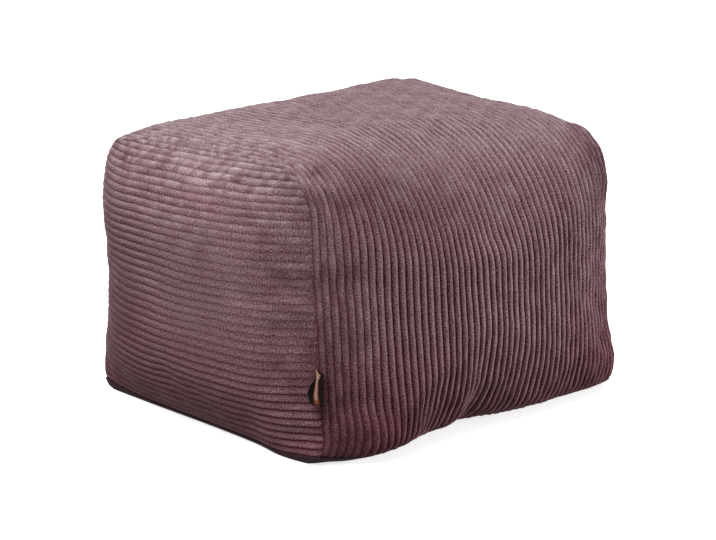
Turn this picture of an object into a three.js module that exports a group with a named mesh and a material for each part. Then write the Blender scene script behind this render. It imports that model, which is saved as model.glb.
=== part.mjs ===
// Cube bean bag: a filled pouf in jumbo corduroy. One long wrap panel runs up the front, over the top
// and down the back. A side panel is sewn into each flank, a plain base cloth closes the foot, and a
// folded tape tab stands out of the near front seam.
// Millimetres. +X runs across the front, -Y faces the viewer, +Z is up and the floor is at z = 0.

import * as THREE from 'three';

// Bag at the seams, to the valleys of the corduroy
const seamHalfWidth = 181;
const seamHalfDepth = 162;
const seamHeight = 248;

// How far each face swells beyond its seams, and how flat the swell stays before it falls to them
const frontSwell = 38;
const frontSwellPower = 2.9;
const topCrown = 11;
const topCrownPower = 2.8;
const sideSwell = 44;
const sideSwellPowerAcross = 2.9;
const sideSwellPowerUp = 4.3;

// Rounding of the wrap panel at the side seams and in the middle of the bag
const topRadiusAtSeam = 43;
const topRadiusMiddle = 117;
const footRadiusAtSeam = 21;
const footRadiusMiddle = 70;

// The filling's lean over half the height, and the slight waist
const leanX = -2;
const leanY = 4;
const waist = 4.2;

// Set of each corner: which corner it is, then how far the filling has moved it
const cornerSet = [
  { x: -1, y: -1, z: -1, moveX: 4, moveY: -5, lift: 0 },
  { x: 1, y: -1, z: -1, moveX: -2, moveY: 10, lift: 0 },
  { x: -1, y: 1, z: -1, moveX: -13, moveY: 1, lift: 0 },
  { x: 1, y: 1, z: -1, moveX: 11, moveY: -5, lift: 0 },
  { x: -1, y: -1, z: 1, moveX: -3, moveY: 0, lift: 28 },
  { x: 1, y: -1, z: 1, moveX: -4, moveY: 5, lift: -7 },
  { x: -1, y: 1, z: 1, moveX: 4, moveY: -3, lift: -9 },
  { x: 1, y: 1, z: 1, moveX: 3, moveY: -1, lift: 5 },
];

// Soft troughs and swellings: centre, reach each way and push
const hollows = [
  { x: -14, y: -200, z: 0, reachX: 13, reachY: 60, reachZ: 48, pushX: 0, pushY: 9, pushZ: 0 },
  { x: -72, y: -200, z: 14, reachX: 42, reachY: 60, reachZ: 34, pushX: 0, pushY: -6, pushZ: 0 },
  { x: 58, y: -200, z: 30, reachX: 60, reachY: 60, reachZ: 34, pushX: 0, pushY: 4, pushZ: 0 },
  { x: -225, y: 40, z: 150, reachX: 60, reachY: 60, reachZ: 42, pushX: 3, pushY: 0, pushZ: 0 },
  { x: -110, y: 40, z: 250, reachX: 55, reachY: 90, reachZ: 60, pushX: 0, pushY: 0, pushZ: -4 },
  { x: 90, y: 70, z: 250, reachX: 70, reachY: 70, reachZ: 60, pushX: 0, pushY: 0, pushZ: -3 },
];

// Corduroy
const wrapRibs = 52;
const sideRibs = 36;
const sideGather = 0.2; // how much closer together the side ribs lie just under the top seam
const sideGatherPower = 4; // how soon that ends below the seam
const ribHeight = 2.2;
const ribEndLength = 5;
const seamWidth = 2;
const seamDepth = 1;

// Base cloth: how high its edge stands above the floor at the corners and between them
const baseThickness = 2;
const baseGap = 0.6;
const rimAtCorner = 9;
const rimBetween = 3;
const rimFallFront = 55;
const rimFallSide = 30;

// Folded tape tab, from the floor, measured along the near seam
const tabBottom = 62;
const tabTop = 96;
const tabReach = 15;
const tabLeaf = 1;
const tabGap = 0.7;
const tabClearance = 1.2;
const tabSway = 3;
const tabLean = 2.2;

// Mesh steps, and where on the wall the rib spacing is measured
const footSteps = 2;
const wallSteps = 2;
const topArcSteps = 5;
const topSteps = 2;
const sideColumns = 12;
const baseFrontSteps = 44;
const tabRows = 10;
const tabFoldSteps = 4;
const rulerSteps = 400;
const midWall = 1.5;
const halvings = 30;
const probe = 0.001;

const liftOffFloor = baseThickness + baseGap;

const materials = {
  corduroy: { color: 0x7a555b, roughness: 0.92, metalness: 0 },
  base: { color: 0x35222a, roughness: 0.95, metalness: 0 },
  tape: { color: 0xa9623c, roughness: 0.55, metalness: 0 },
};

const mix = (from, to, share) => from + (to - from) * share;

// Size of the wrap panel's section at a place across the bag, s from -1 to 1
function section(s) {
  const swell = 1 - Math.abs(s) ** frontSwellPower;
  const middle = 1 - s * s;
  return {
    halfDepth: seamHalfDepth + frontSwell * swell,
    height: seamHeight + topCrown * (1 - Math.abs(s) ** topCrownPower),
    topRadius: mix(topRadiusAtSeam, topRadiusMiddle, middle),
    footRadius: mix(footRadiusAtSeam, footRadiusMiddle, middle),
  };
}

// Wrap panel at s, and t from 0 at the front of the floor through 4 at the middle of the top to 8
function wrapShape(s, t) {
  const { halfDepth, height, topRadius, footRadius } = section(s);
  const front = t <= 4;
  const step = front ? t : 8 - t;
  const x = seamHalfWidth * s;
  let y;
  let z;
  if (step < 1) {
    const angle = step * Math.PI / 2;
    y = halfDepth - footRadius * (1 - Math.sin(angle));
    z = footRadius * (1 - Math.cos(angle));
  } else if (step < 2) {
    y = halfDepth;
    z = mix(footRadius, height - topRadius, step - 1);
  } else if (step < 3) {
    const angle = (step - 2) * Math.PI / 2;
    y = halfDepth - topRadius * (1 - Math.cos(angle));
    z = height - topRadius * (1 - Math.sin(angle));
  } else {
    y = (halfDepth - topRadius) * (4 - step);
    z = height;
  }
  return new THREE.Vector3(x, front ? -y : y, z);
}

// Half depth of a side panel at a height: it fills the wrap panel's section at the seam
function sideHalfDepth(z) {
  const topStart = seamHeight - topRadiusAtSeam;
  if (z > topStart) {
    const rise = Math.min(z - topStart, topRadiusAtSeam);
    return seamHalfDepth - topRadiusAtSeam + Math.sqrt(topRadiusAtSeam ** 2 - rise ** 2);
  }
  if (z < footRadiusAtSeam) {
    const drop = footRadiusAtSeam - z;
    return seamHalfDepth - footRadiusAtSeam + Math.sqrt(footRadiusAtSeam ** 2 - drop ** 2);
  }
  return seamHalfDepth;
}

// Side panel: v from -1 at the front seam to 1 at the back seam, z up
function sideShape(side, v, z) {
  const up = 2 * z / seamHeight - 1;
  const swellAcross = 1 - Math.abs(v) ** sideSwellPowerAcross;
  const swellUp = 1 - Math.min(Math.abs(up), 1) ** sideSwellPowerUp;
  const x = seamHalfWidth + seamWidth + sideSwell * swellAcross * swellUp;
  return new THREE.Vector3(side * x, v * sideHalfDepth(z), z);
}

// The filling's set: corners moved, lean, waist and soft troughs
function settle(point) {
  const x = point.x / (seamHalfWidth + sideSwell);
  const y = point.y / (seamHalfDepth + frontSwell);
  const z = 2 * point.z / seamHeight - 1;
  const settled = point.clone();
  for (const corner of cornerSet) {
    const share = (1 + corner.x * x) * (1 + corner.y * y) * (1 + corner.z * z) / 8;
    settled.x += share * corner.moveX;
    settled.y += share * corner.moveY;
    settled.z += share * corner.lift;
  }
  settled.x += leanX * z - waist * (1 - z * z) * x;
  settled.y += leanY * z - waist * (1 - z * z) * y;
  for (const hollow of hollows) {
    const awayX = (point.x - hollow.x) / hollow.reachX;
    const awayY = (point.y - hollow.y) / hollow.reachY;
    const awayZ = (point.z - hollow.z) / hollow.reachZ;
    const share = Math.exp(-awayX * awayX - awayY * awayY - awayZ * awayZ);
    settled.x += share * hollow.pushX;
    settled.y += share * hollow.pushY;
    settled.z += share * hollow.pushZ;
  }
  return settled;
}

// Outward direction of a surface given by two coordinates, the first to the right and the second up
function outward(surface, a, b, turned) {
  const right = surface(a + probe, b).sub(surface(a - probe, b));
  const up = surface(a, b + probe).sub(surface(a, b - probe));
  const direction = right.cross(up).normalize();
  return turned ? direction.negate() : direction;
}

const wrapSurface = (s, t) => settle(wrapShape(s, t));
const sideSurface = (side) => (v, z) => settle(sideShape(side, v, z));

function wrapOutward(s, t) {
  const inside = THREE.MathUtils.clamp(s, -1 + 2 * probe, 1 - 2 * probe);
  return outward(wrapSurface, inside, THREE.MathUtils.clamp(t, probe, 8 - probe), false);
}

function sideOutward(side, v, z) {
  const edge = 2 * probe;
  const inside = THREE.MathUtils.clamp(v, -1 + edge, 1 - edge);
  const level = THREE.MathUtils.clamp(z, edge, seamHeight - edge);
  return outward(sideSurface(side), inside, level, side < 0);
}

// Place s of each rib line, so that the ribs are evenly spaced on the cloth
function makeRibRuler() {
  const lengths = [0];
  const places = [-1];
  let last = wrapShape(-1, midWall);
  for (let i = 1; i <= rulerSteps; i += 1) {
    const s = -1 + 2 * i / rulerSteps;
    const next = wrapShape(s, midWall);
    lengths.push(lengths[i - 1] + Math.hypot(next.x - last.x, next.y - last.y));
    places.push(s);
    last = next;
  }
  const whole = lengths[rulerSteps];
  return (rib) => {
    const wanted = whole * rib / wrapRibs;
    let i = 1;
    while (i < rulerSteps && lengths[i] < wanted) i += 1;
    const share = (wanted - lengths[i - 1]) / (lengths[i] - lengths[i - 1]);
    return mix(places[i - 1], places[i], share);
  };
}

const placeOfRib = makeRibRuler();

// Height of the base cloth's edge under the bag, high at the corners
function rimHeight(distanceToCorner, fall) {
  return mix(rimBetween, rimAtCorner, Math.exp(-((distanceToCorner / fall) ** 2)));
}

const rimOnWrap = (s) => rimHeight(seamHalfWidth * (1 - Math.abs(s)), rimFallFront);
const rimOnSide = (v) => rimHeight(seamHalfDepth * (1 - Math.abs(v)), rimFallSide);

// Share of the foot's quarter turn at which the wrap panel meets the base cloth's edge
function rimTurn(s) {
  const { footRadius } = section(s);
  return Math.acos(1 - rimOnWrap(s) / footRadius) / (Math.PI / 2);
}

// Rows of the wrap panel from the floor to the middle of the top, each with its share of rib height
function wrapRows(s) {
  const rim = rimTurn(s);
  const ribStart = rim + ribEndLength / (section(s).footRadius * Math.PI / 2);
  const rows = [{ t: 0, rib: 0 }, { t: rim / 2, rib: 0 }, { t: rim, rib: 0 }];
  for (let i = 0; i <= footSteps; i += 1) rows.push({ t: mix(ribStart, 1, i / footSteps), rib: 1 });
  for (let i = 1; i <= wallSteps; i += 1) rows.push({ t: 1 + i / wallSteps, rib: 1 });
  for (let i = 1; i <= topArcSteps; i += 1) rows.push({ t: 2 + i / topArcSteps, rib: 1 });
  for (let i = 1; i <= topSteps; i += 1) rows.push({ t: 3 + i / topSteps, rib: 1 });
  const back = rows.slice(0, -1).reverse();
  return rows.concat(back.map((row) => ({ t: 8 - row.t, rib: row.rib })));
}

function makeShell() {
  return { points: [], faces: [] };
}

function addPoint(shell, point) {
  shell.points.push(point);
  return shell.points.length - 1;
}

function addTriangle(shell, a, b, c, turned) {
  if (turned) shell.faces.push(a, c, b);
  else shell.faces.push(a, b, c);
}

// Skin over a table of point numbers, rows upward and columns to the right
function addGrid(shell, table, turned) {
  for (let row = 0; row + 1 < table.length; row += 1) {
    for (let column = 0; column + 1 < table[row].length; column += 1) {
      const a = table[row][column];
      const b = table[row][column + 1];
      const c = table[row + 1][column + 1];
      const d = table[row + 1][column];
      addTriangle(shell, a, b, c, turned);
      addTriangle(shell, a, c, d, turned);
    }
  }
}

// Distance of each point of an edge from its start, as a share of the whole edge
function sharesAlong(shell, edge) {
  const lengths = [0];
  for (let i = 1; i < edge.length; i += 1) {
    const step = shell.points[edge[i]].distanceTo(shell.points[edge[i - 1]]);
    lengths.push(lengths[i - 1] + step);
  }
  const whole = lengths[lengths.length - 1];
  return lengths.map((length) => length / whole);
}

// Seam between two edges that run the same way, the first to the left of the second
function sew(shell, left, right, turned) {
  const leftShares = sharesAlong(shell, left);
  const rightShares = sharesAlong(shell, right);
  let i = 0;
  let j = 0;
  while (i + 1 < left.length || j + 1 < right.length) {
    const rightDone = j + 1 >= right.length;
    const leftFirst = i + 1 < left.length && leftShares[i + 1] <= rightShares[j + 1];
    if (rightDone || leftFirst) {
      addTriangle(shell, left[i], right[j], left[i + 1], turned);
      i += 1;
    } else {
      addTriangle(shell, left[i], right[j], right[j + 1], turned);
      j += 1;
    }
  }
}

// Closed geometry from a shell, moved to its place in the part
function toGeometry(shell, shift) {
  const geometry = new THREE.BufferGeometry();
  const values = shell.points.flatMap((point) => [
    point.x + shift.x,
    point.y + shift.y,
    point.z + shift.z,
  ]);
  geometry.setAttribute('position', new THREE.Float32BufferAttribute(values, 3));
  geometry.setIndex(shell.faces);
  geometry.computeVertexNormals();
  return geometry;
}

// Point of the wrap panel with its ribs, and sunk a little at the seams
function wrapPoint(rib, row) {
  const s = placeOfRib(rib);
  const ridge = Number.isInteger(rib) ? 0 : 1;
  const atSeam = rib === 0 || rib === wrapRibs;
  const height = atSeam ? -seamDepth : ribHeight * ridge * row.rib;
  return wrapSurface(s, row.t).addScaledVector(wrapOutward(s, row.t), height);
}

function addWrapPanel(shell) {
  const columns = [];
  for (let half = 0; half <= 2 * wrapRibs; half += 1) {
    const rib = half / 2;
    const rows = wrapRows(placeOfRib(rib));
    columns.push(rows.map((row) => addPoint(shell, wrapPoint(rib, row))));
  }
  const table = columns[0].map((_, row) => columns.map((column) => column[row]));
  addGrid(shell, table, false);
  return table;
}

// Places from -1 to 1, closer together towards both ends, where ribs round off and corners turn
function placesToEnds(count) {
  const places = [];
  for (let i = 0; i <= count; i += 1) places.push(Math.sin((i / count - 0.5) * Math.PI));
  return places;
}

function sidePoint(side, v, z, relief) {
  const direction = sideOutward(side, v, z);
  return sideSurface(side)(v, z).addScaledVector(direction, relief);
}

function addSidePanel(shell, side) {
  const places = placesToEnds(sideColumns);
  const table = [];
  for (const share of [0, 0.5]) {
    const row = places.map((v) => {
      const relief = Math.abs(v) === 1 ? -seamDepth : 0;
      return addPoint(shell, sidePoint(side, v, rimOnSide(v) * share, relief));
    });
    table.push(row);
  }
  for (let half = 0; half <= 2 * sideRibs; half += 1) {
    const ridge = half % 2;
    const even = 1 - half / (2 * sideRibs);
    const down = even - sideGather * even * (1 - even) ** sideGatherPower;
    const row = places.map((v) => {
      const z = mix(seamHeight, rimOnSide(v), down);
      const end = Math.abs(v) === 1 || half === 2 * sideRibs;
      return addPoint(shell, sidePoint(side, v, z, end ? -seamDepth : ribHeight * ridge));
    });
    table.push(row);
  }
  const seenFromOutside = side < 0 ? table.map((row) => row.slice().reverse()) : table;
  addGrid(shell, seenFromOutside, false);
  return table;
}

// A side panel's sewn edge: up the front seam, along the top and down the back seam
function sewnEdge(table) {
  const top = table[table.length - 1];
  const up = table.map((row) => row[0]);
  const down = table.map((row) => row[row.length - 1]).reverse();
  return [...up, ...top.slice(1, -1), ...down];
}

// Flat underside inside the foot's edge, as a fan round its middle
function addUnderside(shell, wrapTable, leftTable, rightTable) {
  const front = wrapTable[0];
  const back = wrapTable[wrapTable.length - 1].slice().reverse();
  const loop = [...front, ...rightTable[0], ...back, ...leftTable[0].slice().reverse()];
  const middle = addPoint(shell, new THREE.Vector3(-leanX, -leanY, 0));
  for (const number of loop) shell.points[number].z = 0;
  loop.forEach((number, i) => {
    addTriangle(shell, middle, loop[(i + 1) % loop.length], number, false);
  });
}

function makeBag() {
  const shell = makeShell();
  const wrapTable = addWrapPanel(shell);
  const leftTable = addSidePanel(shell, -1);
  const rightTable = addSidePanel(shell, 1);
  const leftEdge = wrapTable.map((row) => row[0]);
  const rightEdge = wrapTable.map((row) => row[row.length - 1]);
  sew(shell, rightEdge, sewnEdge(rightTable), false);
  sew(shell, leftEdge, sewnEdge(leftTable), true);
  addUnderside(shell, wrapTable, leftTable, rightTable);
  return shell;
}

// Foot of the bag at one place of its edge: three levels from the rim to the floor
function footOnWrap(s, back) {
  const rim = rimTurn(s);
  return [rim, rim / 2, 0].map((turn) => {
    const t = back ? 8 - turn : turn;
    return { point: wrapSurface(s, t), direction: wrapOutward(s, t) };
  });
}

function footOnSide(side, v) {
  const rim = rimOnSide(v);
  return [rim, rim / 2, 0].map((z) => ({
    point: sideSurface(side)(v, z),
    direction: sideOutward(side, v, z),
  }));
}

// Places round the foot, seen from above and against the clock
function footPlaces() {
  const across = placesToEnds(baseFrontSteps);
  const deep = placesToEnds(sideColumns);
  return [
    ...across.map((s) => footOnWrap(s, false)),
    ...deep.map((v) => footOnSide(1, v)),
    ...across.map((s) => footOnWrap(-s, true)),
    ...deep.map((v) => footOnSide(-1, -v)),
  ];
}

// One face of the base cloth, a distance outside the bag's foot
function addBaseFace(shell, places, distance, turned) {
  const down = new THREE.Vector3(0, 0, -1);
  const last = places[0].length - 1;
  const rings = places[0].map((_, level) => places.map((place) => {
    const direction = level === last ? down : place[level].direction;
    const point = place[level].point.clone().addScaledVector(direction, distance);
    if (level === last) point.z = -distance;
    return addPoint(shell, point);
  }));
  const closed = rings.map((ring) => [...ring, ring[0]]);
  addGrid(shell, closed.slice().reverse(), turned);
  const middle = addPoint(shell, new THREE.Vector3(-leanX, -leanY, -distance));
  const foot = closed[last];
  for (let i = 0; i + 1 < foot.length; i += 1) {
    addTriangle(shell, middle, foot[i + 1], foot[i], turned);
  }
  return closed[0];
}

function makeBase() {
  const shell = makeShell();
  const places = footPlaces();
  const outerRim = addBaseFace(shell, places, baseGap + baseThickness, false);
  const innerRim = addBaseFace(shell, places, baseGap, true);
  addGrid(shell, [outerRim, innerRim], false);
  return shell;
}

// Height on the near seam, as the wrap panel's t there
function seamAtHeight(height) {
  let low = 0;
  let high = 2;
  for (let i = 0; i < halvings; i += 1) {
    const middle = (low + high) / 2;
    if (wrapSurface(-1, middle).z < height) low = middle;
    else high = middle;
  }
  return low;
}

// Outline of the folded tape seen from above: out along one leaf, round the fold and back inside
function tabSection() {
  const outer = tabGap / 2 + tabLeaf;
  const inner = tabGap / 2;
  const foldCentre = tabReach - outer;
  const round = (radius, from, to) => {
    const points = [];
    for (let i = 0; i <= tabFoldSteps; i += 1) {
      const angle = mix(from, to, i / tabFoldSteps);
      const out = foldCentre + radius * Math.cos(angle);
      points.push({ out, aside: radius * Math.sin(angle) });
    }
    return points;
  };
  const middle = (tabClearance + foldCentre) / 2;
  return [
    { out: tabClearance, aside: -outer },
    { out: middle, aside: -outer },
    ...round(outer, -Math.PI / 2, Math.PI / 2),
    { out: middle, aside: outer },
    { out: tabClearance, aside: outer },
    { out: tabClearance, aside: inner },
    { out: middle, aside: inner },
    ...round(inner, Math.PI / 2, -Math.PI / 2),
    { out: middle, aside: -inner },
    { out: tabClearance, aside: -inner },
  ];
}

// The tape sways sideways along its length, more the farther it stands out
function makeTab() {
  const shell = makeShell();
  const outline = tabSection();
  const rows = [];
  for (let row = 0; row <= tabRows; row += 1) {
    const share = row / tabRows;
    const t = seamAtHeight(mix(tabBottom, tabTop, share) - liftOffFloor);
    const root = wrapSurface(-1, t);
    const out = wrapOutward(-1, t).add(sideOutward(-1, -1, root.z)).setZ(0).normalize();
    const aside = new THREE.Vector3(-out.y, out.x, 0);
    const sway = tabSway * Math.sin(2 * Math.PI * share) + tabLean;
    rows.push(outline.map((place) => {
      const reach = place.out / tabReach;
      const point = root.clone().addScaledVector(out, place.out);
      point.addScaledVector(aside, place.aside + sway * reach * reach);
      return addPoint(shell, point);
    }));
  }
  addGrid(shell, rows.map((row) => [...row, row[0]]), false);
  addTabEnd(shell, rows[0], true);
  addTabEnd(shell, rows[tabRows], false);
  return shell;
}

// End of the folded tape: the strip between its outer and inner outlines
function addTabEnd(shell, row, turned) {
  const half = row.length / 2;
  const outer = row.slice(0, half);
  const inner = row.slice(half).reverse();
  addGrid(shell, [outer, inner], turned);
}

function makeMesh(name, shell, shift, finish) {
  const mesh = new THREE.Mesh(toGeometry(shell, shift), new THREE.MeshStandardMaterial(finish));
  mesh.name = name;
  return mesh;
}

const bag = makeBag();
const extent = new THREE.Box3().setFromPoints(bag.points);
const centre = extent.getCenter(new THREE.Vector3());
const shift = new THREE.Vector3(-centre.x, -centre.y, liftOffFloor);

const group = new THREE.Group();
group.add(makeMesh('corduroy_bag', bag, shift, materials.corduroy));
group.add(makeMesh('base_cloth', makeBase(), shift, materials.base));
group.add(makeMesh('seam_tab', makeTab(), shift, materials.tape));

export default group;
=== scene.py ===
import math
from types import SimpleNamespace

import bmesh
import bpy
import numpy as np
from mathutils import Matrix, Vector, kdtree


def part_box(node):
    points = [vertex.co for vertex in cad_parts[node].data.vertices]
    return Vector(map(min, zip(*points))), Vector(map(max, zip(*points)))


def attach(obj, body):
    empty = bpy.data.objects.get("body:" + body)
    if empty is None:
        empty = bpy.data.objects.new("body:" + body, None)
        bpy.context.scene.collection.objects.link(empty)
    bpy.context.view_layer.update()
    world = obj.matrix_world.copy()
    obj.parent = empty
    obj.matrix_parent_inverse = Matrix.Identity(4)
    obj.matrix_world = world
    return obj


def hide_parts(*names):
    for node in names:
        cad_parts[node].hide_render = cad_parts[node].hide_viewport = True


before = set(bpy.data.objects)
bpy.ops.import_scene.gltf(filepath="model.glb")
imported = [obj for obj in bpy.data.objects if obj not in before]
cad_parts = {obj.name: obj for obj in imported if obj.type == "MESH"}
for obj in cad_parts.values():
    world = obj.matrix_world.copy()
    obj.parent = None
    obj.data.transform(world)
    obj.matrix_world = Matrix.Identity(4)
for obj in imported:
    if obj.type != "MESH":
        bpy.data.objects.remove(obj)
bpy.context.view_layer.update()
scene = bpy.context.scene

# Everything is in metres, in the frame of the solids: +X across the front, -Y to the viewer, floor at 0.


def addObject(name, data):
    made = bpy.data.objects.new(name, data)
    scene.collection.objects.link(made)
    return made


def meshFrom(builder, name):
    mesh = bpy.data.meshes.new(name)
    builder.to_mesh(mesh)
    builder.free()
    return mesh


# Node trees


class Number:
    # a number in a node tree: a sum written with it adds the nodes that work the sum out
    def __init__(self, socket):
        self.socket = socket
        self.tree = socket.id_data

    def atLeast(self, other):
        return maths("MAXIMUM", self, other)

    def sine(self):
        return maths("SINE", self)

    def rising(self, start, stop):
        # 0 up to start and 1 from stop on
        feeds = {"Value": self, "From Min": start, "From Max": stop}
        made = addNode(self.tree, "MapRange", feeds, interpolation_type="SMOOTHSTEP")
        return Number(made.outputs["Result"])

    def falling(self, start, stop):
        return 1 - self.rising(start, stop)

    def hump(self, rise, fall):
        return self.rising(*rise) - self.rising(*fall)

    def blend(self, first, second):
        return Number(addNode(self.tree, "Mix", {0: self, 2: first, 3: second}).outputs[0])


def feed(target, value):
    # a number or a socket is linked to the target, anything else becomes its value
    value = value.socket if isinstance(value, Number) else value
    if isinstance(value, bpy.types.NodeSocket):
        target.id_data.links.new(value, target)
    else:
        target.default_value = value


def addNode(tree, kind, feeds, **settings):
    made = tree.nodes.new("ShaderNode" + kind)
    for name, value in settings.items():
        setattr(made, name, value)
    for socket, value in feeds.items():
        feed(made.inputs[socket], value)
    return made


def maths(operation, *values):
    tree = next(value.tree for value in values if isinstance(value, Number))
    return Number(addNode(tree, "Math", dict(enumerate(values)), operation=operation).outputs[0])


signs = {"add": "ADD", "sub": "SUBTRACT", "mul": "MULTIPLY", "truediv": "DIVIDE", "pow": "POWER"}
for sign, operation in signs.items():
    setattr(Number, f"__{sign}__", lambda one, other, kind=operation: maths(kind, one, other))
    setattr(Number, f"__r{sign}__", lambda one, other, kind=operation: maths(kind, other, one))


def vectorMaths(operation, vector, *others):
    feeds = dict(enumerate((vector, *others)))
    return addNode(vector.id_data, "VectorMath", feeds, operation=operation).outputs


def blendColour(share, first, second, kind="MIX"):
    tree = share.tree if isinstance(share, Number) else second.id_data
    feeds = {0: share, 6: first, 7: second}
    return addNode(tree, "Mix", feeds, data_type="RGBA", blend_type=kind).outputs[2]


def tinted(colour, red, green, blue):
    return blendColour(1, colour, vectorOf(red, green, blue), "MULTIPLY")


def vectorOf(x, y, z=0):
    return addNode(x.tree, "CombineXYZ", {"X": x, "Y": y, "Z": z}).outputs[0]


def axesOf(vector):
    split = addNode(vector.id_data, "SeparateXYZ", {0: vector})
    return [Number(split.outputs[axis]) for axis in "XYZ"]


def clothPlace(tree, layer="cloth"):
    return addNode(tree, "UVMap", {}, uv_map=layer).outputs["UV"]


def noiseAt(place, scale=1, detail=1, roughness=0.5):
    feeds = {"Vector": place, "Scale": scale, "Detail": detail, "Roughness": roughness}
    return Number(addNode(place.id_data, "TexNoise", feeds).outputs["Fac"])


def bumpNormal(height, strength, distance):
    feeds = {"Strength": strength, "Distance": distance, "Height": height}
    return addNode(height.tree, "Bump", feeds).outputs["Normal"]


def makeMaterial(name, feedsIn):
    # the function given works out what is fed to the shader
    material = bpy.data.materials.new(name)
    material.use_nodes = True
    tree = material.node_tree
    for socket, value in feedsIn(tree).items():
        feed(tree.nodes["Principled BSDF"].inputs[socket], value)
    return material


# Camera and room

cameraView = {
    "azimuth": -39.16, "elevation": 15.98, "distance": 3.042,
    "target": (-0.0031, -0.0009, 0.1153),
    "focalPixels": 3223.7, "imageWidth": 716, "sensor": 36.0,
    "farthest": 100,
}


def addCamera(view):
    turn = math.radians(view["azimuth"])
    rise = math.radians(view["elevation"])
    back = Vector((math.sin(turn) * math.cos(rise), -math.cos(turn) * math.cos(rise), math.sin(rise)))
    data = bpy.data.cameras.new("camera")
    data.sensor_width = view["sensor"]
    data.lens = view["focalPixels"] * view["sensor"] / view["imageWidth"]
    data.clip_end = view["farthest"]
    camera = addObject("camera", data)
    camera.location = Vector(view["target"]) + back * view["distance"]
    camera.rotation_euler = (-back).to_track_quat("-Z", "Y").to_euler()
    scene.camera = camera


# The sky grows paler up to a height that is the sine of its elevation
studio = {
    "sky": {"From Max": 0.55, "To Min": 0.13, "To Max": 0.39},
    "topPower": 1.58, "topSpread": 80, "topTilt": (-10, -16, 0),
}

softboxes = {
    "nearBox": {"place": (-0.85, -0.36, 1.05), "aim": (-0.2, -0.05, 0.15), "size": 0.5, "power": 7.9},
    "frontBox": {"place": (0.9, -2.6, 0.6), "aim": (0, 0, 0.15), "size": 0.9, "power": 6.0},
    "rightBox": {"place": (2.3, -1.7, 0.35), "aim": (0, 0, 0.15), "size": 0.8, "power": 65},
    "backBox": {"place": (0.6, 2.6, 1.7), "aim": (0, 0, 0.15), "size": 1.2, "power": 16},
}


def addSky():
    world = bpy.data.worlds.new("studio")
    world.use_nodes = True
    tree = world.node_tree
    up = axesOf(addNode(tree, "TexCoord", {}).outputs["Generated"])[2]
    strength = addNode(tree, "MapRange", {"Value": up, **studio["sky"]}).outputs["Result"]
    background = tree.nodes["Background"].inputs
    feed(background["Strength"], strength)
    feed(background["Color"], (1, 1, 1, 1))
    scene.world = world
    scene.view_settings.view_transform = "Standard"


def addLights():
    data = bpy.data.lights.new("topLight", "SUN")
    data.energy = studio["topPower"]
    data.angle = math.radians(studio["topSpread"])
    addObject("topLight", data).rotation_euler = [math.radians(tilt) for tilt in studio["topTilt"]]
    for name, box in softboxes.items():
        data = bpy.data.lights.new(name, "AREA")
        data.shape = "RECTANGLE"
        data.size = data.size_y = box["size"]
        data.energy = box["power"]
        light = addObject(name, data)
        light.location = box["place"]
        beam = Vector(box["aim"]) - Vector(box["place"])
        light.rotation_euler = beam.to_track_quat("-Z", "Y").to_euler()


floorPaint = {
    "Base Color": (0.93, 0.93, 0.93, 1),
    "Roughness": 0.7,
    "Emission Color": (1, 1, 1, 1),
    "Emission Strength": 0.72,
}


def addFloor(halfSize=6):
    builder = bmesh.new()
    bmesh.ops.create_grid(builder, x_segments=1, y_segments=1, size=halfSize)
    floor = addObject("studioFloor", meshFrom(builder, "studioFloor"))
    floor.data.materials.append(makeMaterial("floorPaint", lambda tree: floorPaint))
    floor.visible_diffuse = False


addCamera(cameraView)
addSky()
addLights()
addFloor()
print("camera, lights and floor are in")

# The bag's form, as in its solids

form = {
    "halfWidth": 0.181, "halfDepth": 0.162, "height": 0.248,
    "frontSwell": 0.038, "frontPower": 2.9,
    "topCrown": 0.011, "topPower": 2.8,
    "sideSwell": 0.044, "sidePowerAcross": 2.9, "sidePowerUp": 4.3,
    "topRadius": 0.043, "topRadiusInside": 0.117,
    "footRadius": 0.021, "footRadiusInside": 0.07,
    "leanX": -0.002, "leanY": 0.004, "waist": 0.0042,
    "rimAtCorner": 0.006, "rimBetween": 0.003,
    "rimFallFront": 0.055, "rimFallSide": 0.03,
}

# Sets the bag on the floor, with the frame's origin under its middle
centring = np.array([-0.0009, 0.0012, 0.0026])

# Set of each corner: which one, how far it has moved and its lift
cornerSet = [
    ((-1, -1, -1), (0.004, -0.005, 0)),
    ((1, -1, -1), (-0.002, 0.01, 0)),
    ((-1, 1, -1), (-0.013, 0.001, 0)),
    ((1, 1, -1), (0.011, -0.005, 0)),
    ((-1, -1, 1), (-0.003, 0, 0.028)),
    ((1, -1, 1), (-0.004, 0.005, -0.007)),
    ((-1, 1, 1), (0.004, -0.003, -0.009)),
    ((1, 1, 1), (0.003, -0.001, 0.005)),
]

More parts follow.
